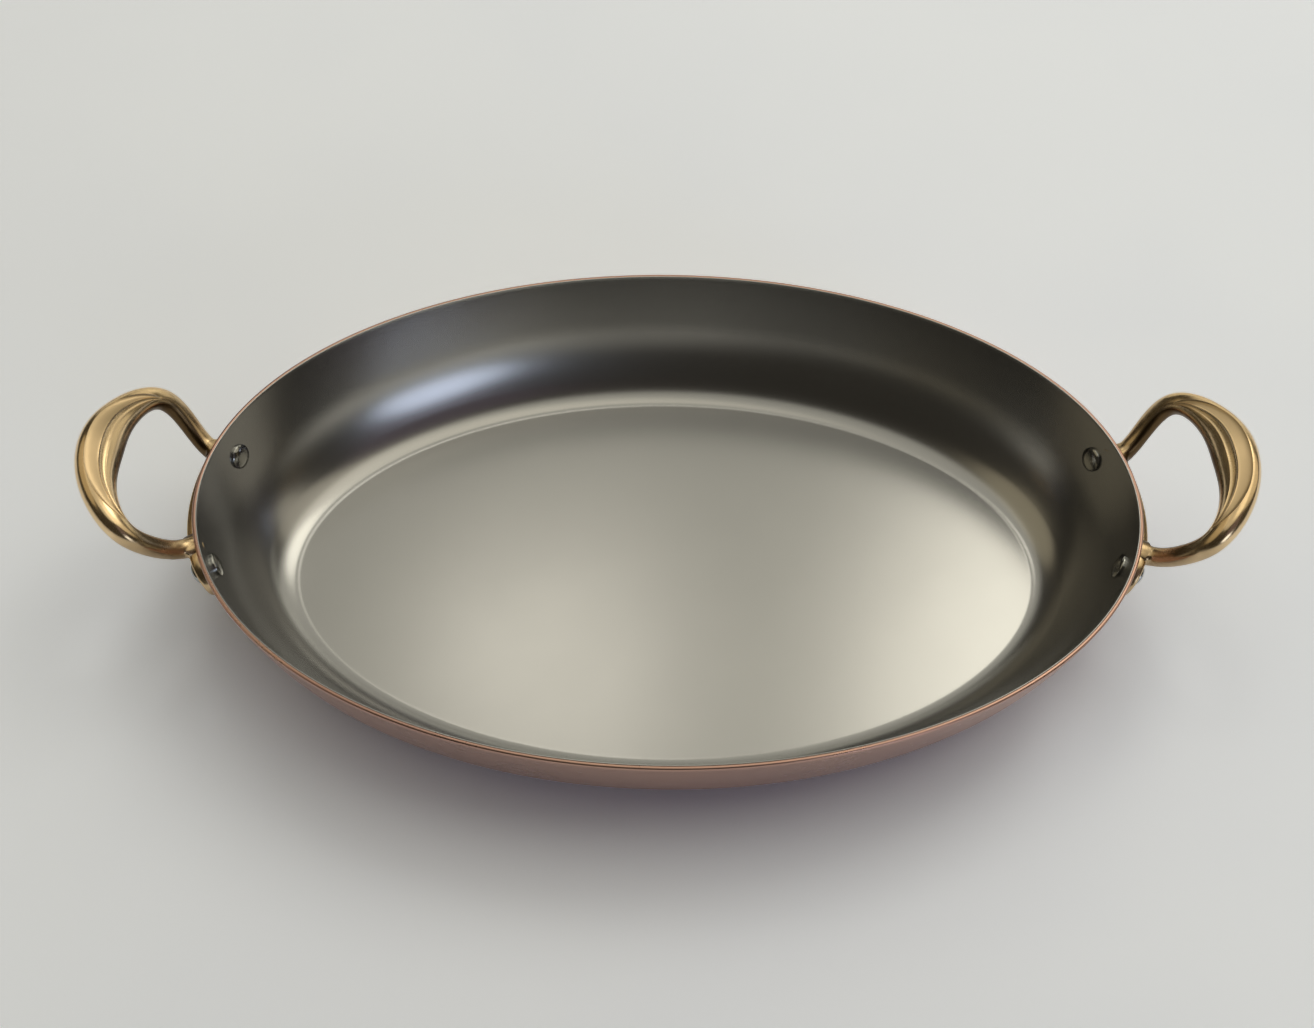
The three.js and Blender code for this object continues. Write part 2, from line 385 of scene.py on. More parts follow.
@dataclass
class CopperBody:
    """The pressed copper body, with both edges of its rim rounded."""

    section: PanSection
    oval: Oval
    thickness: float = 1.5 * MM
    rim_round: float = 0.75 * MM
    inner_round: float = 0.45 * MM
    rim_steps: int = 6
    inside_steps: Steps = (3, 7, 3, 5)
    outside_steps: Steps = (8, 20, 8, 12)
    floor_shrinks: tuple[float, ...] = (0.02, 0.4, 0.8, 0.97)

    def build(self) -> Piece:
        """Models the body."""
        section, top = self.section, self.section.height
        inside = section.rings(self.thickness, top - self.inner_round, self.inside_steps)
        outside = section.rings(0, top - self.rim_round, self.outside_steps)
        rim = []
        for step in range(1, self.rim_steps):
            turn = pi / 2 * step / self.rim_steps
            run = outside[-1].run - self.rim_round * (1 - cos(turn))
            rim.append(Ring(run, top - self.rim_round * (1 - sin(turn))))
        rim.append(Ring(outside[-1].run - self.rim_round, top))
        rim.append(Ring(inside[-1].run + self.inner_round, top))
        middle = EDGE_MIDDLE * self.inner_round
        rim.append(Ring(inside[-1].run + middle, top - middle))
        rings = section.floor(self.thickness, self.floor_shrinks) + inside
        rings += rim[::-1] + outside[::-1] + section.floor(0, self.floor_shrinks)[::-1]
        body = oval_shell("copper_shell", rings, self.oval)
        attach(body, "root")
        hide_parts("copper_body")
        return body


@dataclass
class SteelLining:
    """The steel lining, with the shallow crease round the floor and a rounded rim edge."""

    section: PanSection
    oval: Oval
    outer_inset: float = 1.5 * MM
    thickness: float = 0.3 * MM
    crease_height: float = 0.012 * MM
    crease_width: float = 1.3 * MM
    crease_place: float = 1.6 * MM
    crease_rings: int = 14
    crease_step: float = 0.45 * MM
    edge_round: float = 0.15 * MM
    inside_steps: Steps = (16, 36, 14, 18)
    outside_steps: Steps = (4, 10, 4, 6)
    inside_shrinks: tuple[float, ...] = (0.01, 0.25, 0.5, 0.75, 0.9)
    outside_shrinks: tuple[float, ...] = (0.98, 0.5, 0.02)

    def crease(self, distance: float) -> float:
        """Height of the crease at a distance outward from the floor's edge."""
        away = (distance - self.crease_place) / self.crease_width
        return self.crease_height * exp(-(away**2))

    def inner_rings(self) -> list[Ring]:
        """Stations of the creased face that holds the food, from the middle to the rim."""
        inset = self.outer_inset + self.thickness
        section = self.section
        floor_span = self.oval.half_width + section.floor_run
        rings = section.floor(inset, self.inside_shrinks)
        for step in range(self.crease_rings, 0, -1):
            distance = -step * self.crease_step
            shrink = 1 + distance / floor_span
            rings.append(Ring(section.floor_run, inset + self.crease(distance), shrink))
        wall = section.rings(inset, section.height - self.edge_round, self.inside_steps)
        distance = 0.0
        for before, ring, after in zip([wall[0], *wall], wall, [*wall[1:], wall[-1]]):
            distance += dist((before.run, before.height), (ring.run, ring.height))
            lean = atan2(after.height - before.height, after.run - before.run)
            lift = self.crease(distance)
            rings.append(Ring(ring.run - lift * sin(lean), ring.height + lift * cos(lean)))
        return rings

    def build(self) -> Piece:
        """Models the lining."""
        section, top = self.section, self.section.height
        inner = self.inner_rings()
        outer = section.rings(self.outer_inset, top, self.outside_steps)
        middle = EDGE_MIDDLE * self.edge_round
        run = inner[-1].run
        rim = [Ring(run + middle, top - middle), Ring(run + self.edge_round, top)]
        rings = inner + rim + outer[::-1] + section.floor(self.outer_inset, self.outside_shrinks)
        lining = oval_shell("steel_lining_shell", rings, self.oval)
        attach(lining, "root")
        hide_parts("steel_lining")
        return lining


# Handles


@dataclass(frozen=True)
class Spline:
    """A smooth curve through points of any size, spaced by the length between them."""

    knots: tuple[float, ...]
    points: tuple[tuple[float, ...], ...]
    bends: tuple[tuple[float, ...], ...]

    @classmethod
    def through(cls, points: list[tuple[float, ...]]) -> Spline:
        """Fits a curve with straight ends. The first three values of a point are its place."""
        knots = [0.0]
        for a, b in zip(points, points[1:]):
            knots.append(knots[-1] + dist(a[:3], b[:3]))
        count = len(points)
        bends = [[0.0] * count for _ in points[0]]
        for axis, bend in enumerate(bends):
            lower, right = [0.0] * count, [0.0] * count
            for i in range(1, count - 1):
                before, after = knots[i] - knots[i - 1], knots[i + 1] - knots[i]
                slope_after = (points[i + 1][axis] - points[i][axis]) / after
                slope_before = (points[i][axis] - points[i - 1][axis]) / before
                pivot = 2 * (before + after) - before * lower[i - 1]
                lower[i] = after / pivot
                right[i] = (6 * (slope_after - slope_before) - before * right[i - 1]) / pivot
            for i in range(count - 2, 0, -1):
                bend[i] = right[i] - lower[i] * bend[i + 1]
        return cls(tuple(knots), tuple(points), tuple(zip(*bends)))

    def at(self, fraction: float) -> tuple[float, ...]:
        """The point at a fraction of the curve's length."""
        place = fraction * self.knots[-1]
        i = 0
        while i < len(self.knots) - 2 and place > self.knots[i + 1]:
            i += 1
        span = self.knots[i + 1] - self.knots[i]
        b = (place - self.knots[i]) / span
        a = 1 - b
        values = []
        for axis in range(len(self.points[0])):
            straight = a * self.points[i][axis] + b * self.points[i + 1][axis]
            bend = (a**3 - a) * self.bends[i][axis] + (b**3 - b) * self.bends[i + 1][axis]
            values.append(straight + bend * span * span / 6)
        return tuple(values)


@dataclass(frozen=True)
class Station:
    """One station of the loop in millimetres: its place from the rim's end, and its section."""

    out: float
    side: float
    up: float
    width: float
    thickness: float


@dataclass(frozen=True)
class Line:
    """A ridge line along the grip: its place across the middle, and how it sweeps to its end."""

    middle: float
    end: float
    sweep: float


@dataclass(frozen=True)
class CastSkinAndShade:
    """Where a handle keeps its dull skin as cast, and painted shade: on its plate and arms,
    and on faces inside the loop.

    The hole's middle is given from the rim's end. A face is the duller and the darker with
    painted shade the more it looks there, and the less it looks up.
    """

    hole_reach: float = 13 * MM
    hole_rise: float = 4 * MM
    plate: float = 0.36
    arm: float = 0.42
    arm_start: float = 0.85
    arm_ramp: float = 0.35
    arm_shelter: float = 0.5
    upward: float = 0.45
    start: float = 0.6
    ramp: float = 0.45

    def share(self, facing: Vector, inward: Vector, travel: float) -> float:
        """Finds how much dull skin and painted shade there is at a point of the loop.

        Args:
            facing: Direction that the surface faces.
            inward: Direction from the loop's centreline to the middle of its hole.
            travel: Way along the loop from its middle, with the end of the channels at 1.

        Returns:
            The share, up to 1. Below 0 the surface is polished.
        """
        arm = clamp((travel - self.arm_start) / self.arm_ramp)
        # Faces that look into the loop and down get more dull skin and more painted shade.
        shelter = facing.dot(inward) - self.upward * facing.z - self.start + self.arm_shelter * arm
        return max(self.arm * arm, min(1.0, shelter / self.ramp))


@dataclass
class BronzeHandle:
    """One cast handle: a loop whose grip carries two channels, and its mounting plate."""

    section: PanSection
    oval: Oval
    seat_gap: float = 0.3 * MM
    plate_thickness: float = 4 * MM
    plate_edge: float = 1.3 * MM
    plate_drop: float = 13.5 * MM
    plate_half_height: float = 8.5 * MM
    plate_half_span: float = 35 * MM
    plate_sides: int = 48
    plate_cuts: int = 40
    plate_insets: int = 6
    plate_stand_off: float = 20 * MM
    edge_steps: int = 4
    edge_angle: float = radians(50)
    smooth_angle: float = radians(32)
    shift: float = -0.8 * MM
    lean: float = 0.025
    tilt: float = radians(43)
    squareness: float = 0.88
    root_round: float = 1.3 * MM
    root_lean: float = 0.3
    skin: CastSkinAndShade = CastSkinAndShade()
    line_return: float = 0.3
    channel_half_span: float = 34.5 * MM
    channel_depths: tuple[float, float] = (0.75 * MM, 0.5 * MM)
    channel_satin: tuple[float, float] = (1.0, 0.4)
    satin_edge: float = 2.5
    columns: tuple[int, ...] = (12, 24, 14, 18, 52)
    rings: int = 200
    look: float = 0.004
    stations: tuple[Station, ...] = (
        Station(-4.5, 21.2, -8.2, 8.0, 8.0),
        Station(0.0, 23.7, -7.2, 7.2, 7.2),
        Station(8.9, 30.5, 3.2, 7.4, 6.6),
        Station(15.0, 31.9, 12.1, 7.8, 7.7),
        Station(25.6, 17.2, 19.5, 12.8, 9.6),
        Station(28.1, 0.0, 21.5, 16.2, 10.4),
    )
    lines: tuple[Line, ...] = (
        Line(0.84, -0.46, 4.2),
        Line(0.25, -0.54, 3.2),
        Line(-0.15, -0.62, 3.0),
    )

    def path(self) -> Spline:
        """The loop's centreline from front to rear, with the width and thickness there."""
        points = []
        signed = [(-1, station) for station in self.stations]
        signed += [(1, station) for station in self.stations[-2::-1]]
        for sign, station in signed:
            side = sign * station.side
            points.append((
                self.oval.half_length + station.out * MM,
                side * MM + self.shift,
                self.section.height + (station.up + self.lean * side) * MM,
                station.width * MM,
                station.thickness * MM,
            ))
        return Spline.through(points)

    def line_places(self, travel: float) -> list[float]:
        """Places of the ridge lines across the grip, from 1 outside to -1 inside.

        The travel is the way along the loop from its middle, with the end of the channels at 1.
        """
        places = []
        for line in self.lines:
            if travel < 1:
                places.append(line.middle + (line.end - line.middle) * travel**line.sweep)
            else:
                back = min(1.0, (travel - 1) / self.line_return)
                back = back * back * (3 - 2 * back)
                places.append(line.end + (line.middle - line.end) * back)
        return places

    def section_point(self, column: int, travel: float) -> tuple[float, float, float, float]:
        """One point of the section, in fractions of its half width and half thickness.

        Args:
            column: Number of the point, from the outer edge over the top and back underneath.
            travel: Way along the loop from its middle, with the end of the channels at 1.

        Returns:
            Place across, place up, depth of the channel there, and how much it is satin, which
            also darkens it with painted shade.
        """
        stops = [1.0, *self.line_places(travel), -1.0, 1.0]
        index = 0
        while column >= self.columns[index]:
            column -= self.columns[index]
            index += 1
        part = column / self.columns[index]
        if index == len(self.columns) - 1:
            turn = pi + pi * part
        else:
            ends = stops[index : index + 2]
            cosines = (clamp(signed_power(end, 1 / self.squareness), -1.0) for end in ends)
            before, after = (acos(cosine) for cosine in cosines)
            turn = before + (after - before) * part
        across = signed_power(cos(turn), self.squareness)
        up = signed_power(sin(turn), self.squareness)
        depth = satin = 0.0
        if index in (1, 2) and travel < 1:
            full = abs(self.lines[index].middle - self.lines[index - 1].middle)
            share = min(1.0, abs(stops[index + 1] - stops[index]) / full)
            hollow = 1 - (2 * part - 1) ** 2
            depth = self.channel_depths[index - 1] * share * hollow
            satin = min(1.0, self.satin_edge * hollow) * self.channel_satin[index - 1]
        return across, up, depth, satin

    def flare(self, point: Vector, middle: Vector) -> Vector:
        """Widens the loop where it meets the plate, as a cast corner does, but not above it.

        It moves a point of the plain loop away from its middle on the centreline.
        """
        _, run = self.oval.locate(point.x, point.y)
        face = self.section.wall_run(point.z, -self.seat_gap - self.plate_thickness)
        clear = clamp((run - face) * cos(self.root_lean), 0.0, self.root_round)
        arc = self.root_round - sqrt(self.root_round**2 - (self.root_round - clear) ** 2)
        plate_top = self.section.height - self.plate_drop + self.plate_half_height
        cover = clamp((plate_top + self.root_round - point.z) / (2 * self.root_round))
        offset = point - middle
        return middle + offset * (1 + arc * cover / offset.length)

    def frames(self) -> list[tuple[Vector, Vector, Vector, float, float]]:
        """For each ring its middle, its directions across and up, and its half sizes in them."""
        path = self.path()
        rise_axis = Vector((-sin(self.tilt), 0, cos(self.tilt)))
        frames = []
        for ring in range(self.rings + 1):
            along = ring / self.rings
            here = path.at(along)
            ahead = path.at(min(1.0, along + self.look))
            behind = path.at(max(0.0, along - self.look))
            tangent = (Vector(ahead[:3]) - Vector(behind[:3])).normalized()
            across = tangent.cross(rise_axis).normalized()
            halves = (here[3] / 2, here[4] / 2)
            frames.append((Vector(here[:3]), across, across.cross(tangent), *halves))
        return frames

    def loop(self) -> Piece:
        """Models the loop from a cylinder cut into rings and bent along its path.

        Its attributes hold the satin of its channels, which also darkens them with painted shade,
        and its skin as cast, which carries painted shade too. It is cut twice, because Blender
        makes at most 100 cuts at once.
        """
        total = sum(self.columns)
        clear_selection()
        bpy.ops.mesh.primitive_cylinder_add(vertices=total, radius=1.0, depth=1.0)
        piece = new_piece("bronze_loop")
        open_mesh()
        for shortest, cuts in ((0.5, self.rings // 2 - 1), (0.25 / self.rings, 1)):
            select_in_edit(piece, Part.EDGE, lambda edge: abs(rise_of(edge)) > shortest)
            bpy.ops.mesh.subdivide(number_cuts=cuts)
        close_mesh()
        frames = self.frames()
        ways = [0.0]
        for first, second in zip(frames, frames[1:]):
            ways.append(ways[-1] + (second[0] - first[0]).length)
        skin = self.skin
        hole_height = self.section.height + skin.hole_rise
        hole = Vector((self.oval.half_length + skin.hole_reach, self.shift, hole_height))
        satin = piece.data.attributes.new("satin", "FLOAT", "POINT")
        cast = piece.data.attributes.new("cast", "FLOAT", "POINT")
        for vertex in piece.data.vertices:
            ring = round((vertex.co.z + 0.5) * self.rings)
            column = round(atan2(vertex.co.y, vertex.co.x) / tau * total) % total
            middle, across, rise, half_width, half_thickness = frames[ring]
            travel = abs(ways[ring] - ways[self.rings // 2]) / self.channel_half_span
            x, z, depth, satin_and_shade = self.section_point(column, travel)
            point = middle + across * (x * half_width) + rise * (z * half_thickness - depth)
            vertex.co = self.flare(point, middle)
            satin.data[vertex.index].value = satin_and_shade
            facing, inward = (point - middle).normalized(), (hole - middle).normalized()
            # The share sets a duller skin and painted shade at this point.
            cast.data[vertex.index].value = skin.share(facing, inward, travel)
        face_outwards(piece)
        return piece

    def plate(self, body: Piece) -> Piece:
        """Models the mounting plate: its outline, laid on the copper body and thickened."""
        radius = self.plate_half_height
        end = self.plate_half_span - radius
        height = self.section.height - self.plate_drop
        stand = (self.oval.half_length + self.plate_stand_off, 0, height)
        clear_selection()
        bpy.ops.mesh.primitive_circle_add(
            vertices=self.plate_sides, radius=radius, location=stand, rotation=(0, pi / 2, 0)
        )
        piece = new_piece("bronze_plate")
        bpy.ops.object.transform_apply(location=True, rotation=True, scale=True)
        open_mesh()
        for sign in (1, -1):
            select_in_edit(piece, Part.VERT, lambda vertex: vertex.co.y * sign > -HAIR * sign)
            bpy.ops.transform.translate(value=(0, sign * end, 0))
        select_in_edit(piece, Part.EDGE, lambda edge: edge.calc_length() > end)
        bpy.ops.mesh.subdivide(number_cuts=self.plate_cuts)
        bpy.ops.mesh.select_all(action="SELECT")
        half_span, half_height = self.plate_half_span, radius
        for _ in range(self.plate_insets):
            inner_span, inner_height = half_span - self.plate_edge, half_height - self.plate_edge
            bpy.ops.mesh.extrude_edges_move(TRANSFORM_OT_translate={"value": (0, 0, 0)})
            shrink = (1, inner_span / half_span, inner_height / half_height)
            bpy.ops.transform.resize(value=shrink, center_override=stand)
            half_span, half_height = inner_span, inner_height
        bpy.ops.mesh.edge_face_add()
        bpy.ops.mesh.quads_convert_to_tris()
        face_outwards(piece)
        seat = {"target": body, "offset": self.seat_gap, "wrap_mode": "ABOVE_SURFACE"}
        way = {"wrap_method": "PROJECT", "use_project_x": True, "use_negative_direction": True}
        apply_modifier(piece, "SHRINKWRAP", use_positive_direction=False, **seat, **way)
        apply_modifier(piece, "SOLIDIFY", thickness=self.plate_thickness, offset=1.0)
        face_outwards(piece)
        corners = {"limit_method": "ANGLE", "angle_limit": self.edge_angle}
        apply_modifier(piece, "BEVEL", width=self.plate_edge, segments=self.edge_steps, **corners)
        return piece

    def build(self, body: Piece) -> list[Piece]:
        """Models the casting once, on the copper body, and copies it to the other end."""
        loop = self.loop()
        plate = self.plate(body)
        # The whole plate gets an even share of dull skin and painted shade.
        cast = plate.data.attributes.new("cast", "FLOAT", "POINT")
        for place_on_plate in cast.data:
            place_on_plate.value = self.skin.plate
        take(plate)
        loop.select_set(True)
        bpy.context.view_layer.objects.active = loop
        bpy.ops.object.join()
        right = new_piece("bronze_handle_right")
        smooth(right, self.smooth_angle)
        left = copy_piece(right, "bronze_handle_left")
        place(left, Matrix.Rotation(pi, 4, "Z"))
        for end, handle in zip(End, (right, left)):
            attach(handle, "root")
            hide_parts(f"handle_{end.value}")
        return [right, left]


# Rivets


@dataclass
class Rivets:
    """The four steel rivets, turned once and set through the wall at both ends."""

    section: PanSection
    oval: Oval
    angle: float = radians(13.7)
    drop: float = 13.2 * MM
    sheet: float = 1.8 * MM
    outer_seat: float = 6.4 * MM
    shank_radius: float = 2.3 * MM
    inner_radius: float = 4.8 * MM
    inner_edge: float = 0.75 * MM
    inner_height: float = 1.95 * MM
    outer_radius: float = 4.1 * MM
    outer_edge: float = 0.9 * MM
    outer_height: float = 2.5 * MM
    corner: float = 0.25 * MM
    corner_share: float = 0.4
    dome_steps: int = 16
    dome_width_power: float = 0.9
    dome_height_power: float = 1.25
    sides: int = 64
    smooth_angle: float = radians(40)

    def frame(self, side: int) -> Matrix:
        """The place of a rivet at the right end, with Z along it and outward.

        Side 1 is the rear rivet, and side -1 the front one.
        """
        height = self.section.height - self.drop
        turn = self.section.wall_turn(height, self.sheet)
        middle = self.oval.point(side * self.angle, self.section.wall_run(height, self.sheet))
        middle.z = height
        axis = self.oval.outward(side * self.angle) - Vector((0, 0, tan(turn)))
        return Matrix.Translation(middle) @ axis.to_track_quat("Z", "Y").to_matrix().to_4x4()

    def head(self, radius: float, edge: float, height: float) -> list[tuple[float, float]]:
        """Profile of a head from its foot to its top, as points of radius and height.

        The edge is the height of its short upright side.
        """
        foot = self.corner_share * self.corner
        points = [(radius - foot, 0.0), (radius, foot), (radius, edge - self.corner)]
        for step in range(self.dome_steps + 1):
            turn = pi / 2 * step / self.dome_steps
            across = (radius - EDGE_MIDDLE * self.corner) * cos(turn) ** self.dome_width_power
            points.append((across, edge + (height - edge) * sin(turn) ** self.dome_height_power))
        return points

    def turn_one(self) -> Piece:
        """Turns one rivet about Z, with Z = 0 on the lining under its inner head."""
        inner = self.head(self.inner_radius, self.inner_edge, self.inner_height)
        outer = self.head(self.outer_radius, self.outer_edge, self.outer_height)
        profile = [(radius, -height) for radius, height in reversed(inner)]
        profile += [(self.shank_radius, 0.0), (self.shank_radius, self.outer_seat)]
        profile += [(radius, height + self.outer_seat) for radius, height in outer]
        clear_selection()
        bpy.ops.mesh.primitive_plane_add(size=2 * MM)
        piece = new_piece("steel_rivet")
        open_mesh()
        select_in_edit(piece, Part.VERT, lambda vertex: True)
        bpy.ops.mesh.merge(type="CENTER")
        bpy.ops.transform.translate(value=(0, 0, profile[0][1]))
        for before, after in zip(profile, profile[1:]):
            step = (after[0] - before[0], 0, after[1] - before[1])
            bpy.ops.mesh.extrude_vertices_move(TRANSFORM_OT_translate={"value": step})
        bpy.ops.mesh.select_all(action="SELECT")
        bpy.ops.mesh.spin(steps=self.sides, angle=tau, center=(0, 0, 0), axis=(0, 0, 1))
        bpy.ops.mesh.select_all(action="SELECT")
        bpy.ops.mesh.remove_doubles(threshold=2 * HAIR)
        close_mesh()
        face_outwards(piece)
        smooth(piece, self.smooth_angle)
        return piece

    def build(self) -> list[Piece]:
        """Sets a rivet in each of the four holes."""
        pattern = self.turn_one()
        rivets = []
        for end in End:
            half_turn = Matrix.Rotation(pi if end is End.LEFT else 0.0, 4, "Z")
            for name, side in (("rear", 1), ("front", -1)):
                rivet = copy_piece(pattern, f"steel_rivet_{end.value}_{name}")
                place(rivet, half_turn @ self.frame(side if end is End.RIGHT else -side))
                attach(rivet, "root")
                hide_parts(f"rivet_{end.value}_{name}")
                rivets.append(rivet)
        bpy.data.objects.remove(pattern)
        return rivets


# Finishes


class Graph:
    """A node tree with short ways to add nodes and join them. A Feed is a value or an output."""

    def __init__(self, tree: bpy.types.NodeTree) -> None:
        """Starts on an empty tree."""
        self.tree = tree
        tree.nodes.clear()

    def feed(self, socket: Socket, value: Feed) -> None:
        """Sets an input to a value, or joins an output to it."""
        if isinstance(value, Socket):
            self.tree.links.new(value, socket)
        else:
            socket.default_value = value

    def add(self, kind: str, inputs: Inputs | None = None, **settings) -> bpy.types.Node:
        """Adds a node.

        Args:
            kind: Blender's type of node, without ShaderNode.
            inputs: For each input's name or number, what feeds it.
            **settings: Values set on the node itself, before its inputs.

        Returns:
            The node.
        """
        node = self.tree.nodes.new(kind if kind.startswith("Node") else f"ShaderNode{kind}")
        for key, value in settings.items():
            setattr(node, key, value)
        for key, value in (inputs or {}).items():
            self.feed(node.inputs[key], value)
        return node

    def maths(self, operation: str, *values: Feed) -> Socket:
        """Adds a Math node and returns its output."""
        return self.add("Math", dict(enumerate(values)), operation=operation).outputs[0]

    def plus(self, value: Feed, mask: Feed, amount: float) -> Socket:
        """Adds a mask times an amount to a value."""
        return self.maths("ADD", value, self.maths("MULTIPLY", mask, amount))

    def noise(self, vector: Feed, scale: Feed, detail: Feed, twist: float = 0.0) -> Socket:
        """Adds a Noise Texture node and returns its height."""
        inputs = {"Vector": vector, "Scale": scale, "Detail": detail, "Distortion": twist}
        return self.add("TexNoise", inputs).outputs[0]

    def span(self, value: Feed, limits: tuple[float, float]) -> Socket:
        """Adds a Map Range node that gives 0 at the lower limit and 1 at the upper one."""
        inputs = {"Value": value, "From Min": limits[0], "From Max": limits[1]}
        return self.add("MapRange", inputs).outputs[0]

    def mix(self, factor: Feed, first: Feed, second: Feed) -> Socket:
        """Adds a Mix node that goes from one colour to another, and returns its output."""
        return self.add("Mix", {0: factor, 6: first, 7: second}, data_type="RGBA").outputs[2]


def new_group(name: str, inputs: Inputs, outputs: tuple[str, ...]) -> tuple[Graph, dict, dict]:
    """Starts a shader node group with default values for its inputs.

    Returns:
        The group's graph, and by name what its inputs give and what its outputs take.
    """
    tree = bpy.data.node_groups.new(name, "ShaderNodeTree")
    graph = Graph(tree)
    for key, value in inputs.items():
        kind = "NodeSocketVector" if isinstance(value, tuple) else "NodeSocketFloat"
        socket = tree.interface.new_socket(name=key, in_out="INPUT", socket_type=kind)
        socket.default_value = value
    for key in outputs:
        tree.interface.new_socket(name=key, in_out="OUTPUT", socket_type="NodeSocketFloat")
    source = graph.add("NodeGroupInput")
    sink = graph.add("NodeGroupOutput")
    return graph, dict(source.outputs.items()), dict(sink.inputs.items())


def grain_group() -> bpy.types.NodeTree:
    """Builds the fine grain that a face keeps from its last abrasive, as a height from 0 to 1."""
    inputs = {"Vector": (0, 0, 0), "Stretch": (1, 1, 1), "Scale": 1500.0, "Detail": 3.0}
    graph, given, out = new_group("Abrasive grain", inputs, ("Height",))
    vectors = {0: given["Vector"], 1: given["Stretch"]}
    stretched = graph.add("VectorMath", vectors, operation="MULTIPLY").outputs[0]
    graph.feed(out["Height"], graph.noise(stretched, given["Scale"], given["Detail"]))
    return graph.tree


@dataclass(frozen=True)
class Marks:
    """The marks of use: soft smudges, and sparse hairlines that cross at two angles."""

    smudge_limits: tuple[float, float] = (0.35, 0.75)
    smudge_twist: float = 0.6
    hairline_turns: tuple[float, float] = (0.35, -0.6)
    hairline_stretch: tuple[float, float, float] = (1, 45, 12)
    hairline_limits: tuple[float, float] = (0.7, 0.78)

    def group(self) -> bpy.types.NodeTree:
        """Builds the marks as two masks from 0 to 1."""
        inputs = {"Vector": (0, 0, 0), "Smudge size": 25.0, "Hairline size": 60.0}
        graph, given, out = new_group("Marks of use", inputs, ("Smudges", "Hairlines"))
        where, size = given["Vector"], given["Smudge size"]
        broad = graph.noise(where, size, detail=4.0, twist=self.smudge_twist)
        graph.feed(out["Smudges"], graph.span(broad, self.smudge_limits))
        lines = []
        for turn in self.hairline_turns:
            mapping = {"Rotation": (0, 0, turn), "Scale": self.hairline_stretch}
            turned = graph.add("Mapping", {"Vector": given["Vector"], **mapping}).outputs[0]
            streaks = graph.noise(turned, given["Hairline size"], detail=1.0)
            lines.append(graph.span(streaks, self.hairline_limits))
        graph.feed(out["Hairlines"], graph.maths("MAXIMUM", *lines))
        return graph.tree


@dataclass(frozen=True)
class EffectGroups:
    """The node groups that the finishes share."""

    grain: bpy.types.NodeTree
    marks: bpy.types.NodeTree


@dataclass(frozen=True)
class MetalFinish:
    """A metal's colour, gloss, grain and wear.

    The satin and the skin as cast are masks that the handles carry as attributes. Both also
    darken the colour as painted shade.
    """

    name: str
    colour: Colour
    drift: Colour
    worn: Colour
    roughness: float
    roughness_spread: float
    grain_scale: float
    grain_depth: float
    drift_size: float
    smudge_size: float
    hairline_size: float
    grain_stretch: tuple[float, float, float] = (1, 1, 1)
    drift_limits: tuple[float, float] = (0.35, 0.7)
    hairline_share: float = 0.5
    hairline_shine: float = 0.06
    satin_roughness: float = 0.0
    satin_painted_shade: float = 1.0
    cast_skin_and_shade_colour: Colour | None = None
    cast_roughness: float = 0.0
    cast_limits: tuple[float, float] = (0.3, 0.95)
    patch_size: float = 120.0
    patch_share: float = 0.3
    wave_size: float = 0.0
    wave_depth: float = 0.0

    def material(self, groups: EffectGroups) -> bpy.types.Material:
        """Builds the finish as a material."""
        material = bpy.data.materials.new(self.name)
        material.use_nodes = True
        graph = Graph(material.node_tree)
        where = graph.add("TexCoord").outputs["Object"]
        sizes = {"Smudge size": self.smudge_size, "Hairline size": self.hairline_size}
        marks = graph.add("Group", {"Vector": where, **sizes}, node_tree=groups.marks).outputs
        inputs = {"Vector": where, "Stretch": self.grain_stretch, "Scale": self.grain_scale}
        grain = graph.add("Group", inputs, node_tree=groups.grain).outputs[0]
        drift = graph.span(graph.noise(where, self.drift_size, detail=3.0), self.drift_limits)
        colour = graph.mix(drift, self.colour, self.drift)
        worn = graph.maths("MULTIPLY", marks["Hairlines"], self.hairline_share)
        colour = graph.mix(worn, colour, self.worn)
        rough = graph.plus(self.roughness, marks["Smudges"], self.roughness_spread)
        rough = graph.plus(rough, graph.maths("SUBTRACT", grain, 0.5), self.roughness_spread)
        rough = graph.plus(rough, marks["Hairlines"], -self.hairline_shine)
        if self.satin_roughness:
            satin = graph.add("Attribute", attribute_name="satin").outputs["Fac"]
            rough = graph.plus(rough, satin, self.satin_roughness)
            # Painted shade: the satin channels take a darker copy of the colour.
            shaded = tuple(value * self.satin_painted_shade for value in self.colour[:3]) + (1.0,)
            colour = graph.mix(satin, colour, shaded)
        if self.cast_skin_and_shade_colour:
            cast = graph.add("Attribute", attribute_name="cast").outputs["Fac"]
            patches = graph.noise(where, self.patch_size, detail=2.0)
            cast = graph.plus(cast, patches, self.patch_share)
            cast = graph.span(cast, self.cast_limits)
            rough = graph.plus(rough, cast, self.cast_roughness)
            # Painted shade: the cast mask darkens the handle's colour to a near black brown.
            colour = graph.mix(cast, colour, self.cast_skin_and_shade_colour)
        height = graph.maths("MULTIPLY", grain, self.grain_depth)
        if self.wave_depth:
            waves = graph.noise(where, self.wave_size, detail=1.0)
            height = graph.plus(height, waves, self.wave_depth)
        bump = graph.add("Bump", {"Height": height, "Strength": 1.0, "Distance": 1.0}).outputs[0]
        inputs = {"Base Color": colour, "Roughness": rough, "Normal": bump, "Metallic": 1.0}
        shader = graph.add("BsdfPrincipled", inputs)
        graph.add("OutputMaterial", {"Surface": shader.outputs[0]})
        return material


